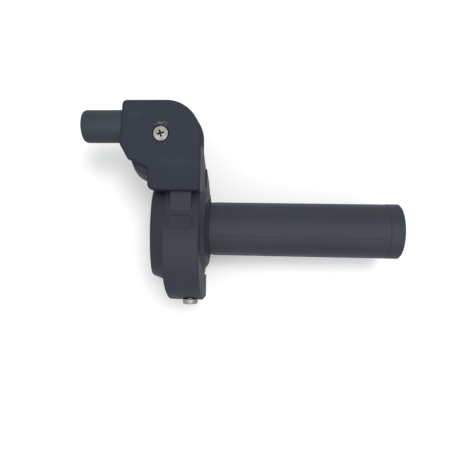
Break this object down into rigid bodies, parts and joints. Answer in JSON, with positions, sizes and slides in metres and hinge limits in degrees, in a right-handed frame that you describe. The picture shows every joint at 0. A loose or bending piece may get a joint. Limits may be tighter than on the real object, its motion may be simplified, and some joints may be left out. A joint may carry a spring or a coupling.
{
  "type": "throttle grip",
  "caption": "Quick-action twist throttle: ribbed tube in a clamp-on drum housing, with an arm whose pulley turns the cable out sideways.",
  "frame": {"origin": "on the handlebar axis, inside the clamp collar at the inboard end of the housing", "axes": "+X outboard along the handlebar and the twist tube, +Y forward along the cable arm, +Z out of the pulley cover's face"},
  "size_m": [0.1539, 0.0974, 0.0525],
  "materials": {
    "body_plastic": "satin moulded, fine grain",
    "cover_plastic": "satin moulded, fine grain",
    "tube_plastic": "smooth extruded, slightly glossy",
    "sleeve_plastic": "satin moulded",
    "bright_screw": "zinc plated",
    "steel_part": "plain steel",
    "alloy_adjuster": "dull anodised",
    "brass_insert": "knurled outside",
    "acetal": "natural white acetal",
    "black_rubber": "moulded"
  },
  "bodies": {
    "housing": {"housing_front": "body_plastic", "housing_rear": "body_plastic", "pulley_cover": "cover_plastic", "cover_gasket": "black_rubber", "cover_screw": "bright_screw", "cover_screw_insert": "brass_insert", "pulley_bush": "steel_part", "pulley_washers": "steel_part", "thrust_washer": "acetal", "tube_seal": "black_rubber", "clamp_screws": "bright_screw", "clamp_washers": "steel_part", "clamp_inserts": "brass_insert", "locating_dowels": "steel_part", "friction_screw": "bright_screw", "friction_insert": "brass_insert", "friction_spring": "steel_part", "friction_shoe": "acetal", "outlet_sleeve": "sleeve_plastic", "cable_adjuster": "alloy_adjuster", "adjuster_locknut": "steel_part"},
    "twist_tube": {"throttle_tube": "tube_plastic", "cable_drum": "acetal", "drum_key": "steel_part", "retaining_ring": "steel_part"},
    "cable_pulley": {"guide_pulley": "acetal"}
  },
  "joints": [
    {"name": "tube_twist", "type": "hinge", "parent": "housing", "child": "twist_tube", "pos_m": [0.06, 0, 0], "axis": [1, 0, 0], "range_deg": [0, 78]},
    {"name": "pulley_spin", "type": "hinge", "parent": "housing", "child": "cable_pulley", "pos_m": [0.0053, 0.0435, 0.0165], "axis": [0, 0, 1], "range_deg": [-262, 2]}
  ],
  "couplings": [
    {"joint": "pulley_spin", "follows": "tube_twist", "ratio": -3.3}
  ]
}
